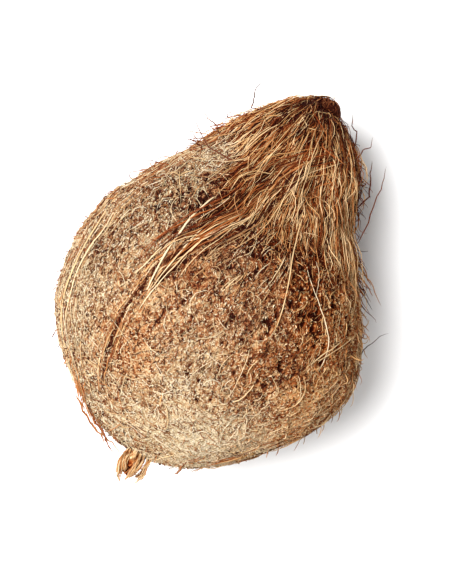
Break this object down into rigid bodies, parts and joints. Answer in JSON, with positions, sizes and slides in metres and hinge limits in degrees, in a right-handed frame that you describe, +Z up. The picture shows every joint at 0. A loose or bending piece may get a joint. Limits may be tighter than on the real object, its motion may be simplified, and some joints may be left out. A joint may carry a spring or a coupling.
{
  "type": "semi-husked coconut",
  "caption": "Semi-husked coconut lying on its side, with a felted coir skin, a combed tuft of coir over the stalk end and a torn husk nib at the base.",
  "frame": {"origin": "middle of the bounding box, on the surface that the nut rests on", "axes": "+Z up, +X along the nut from its base to its tuft, which droops 8 degrees, +Y towards the side with the seam"},
  "size_m": [0.1624, 0.1206, 0.117],
  "materials": {
    "coir": "matte"
  },
  "bodies": {
    "root": {"coconut": "coir"}
  },
  "joints": []
}
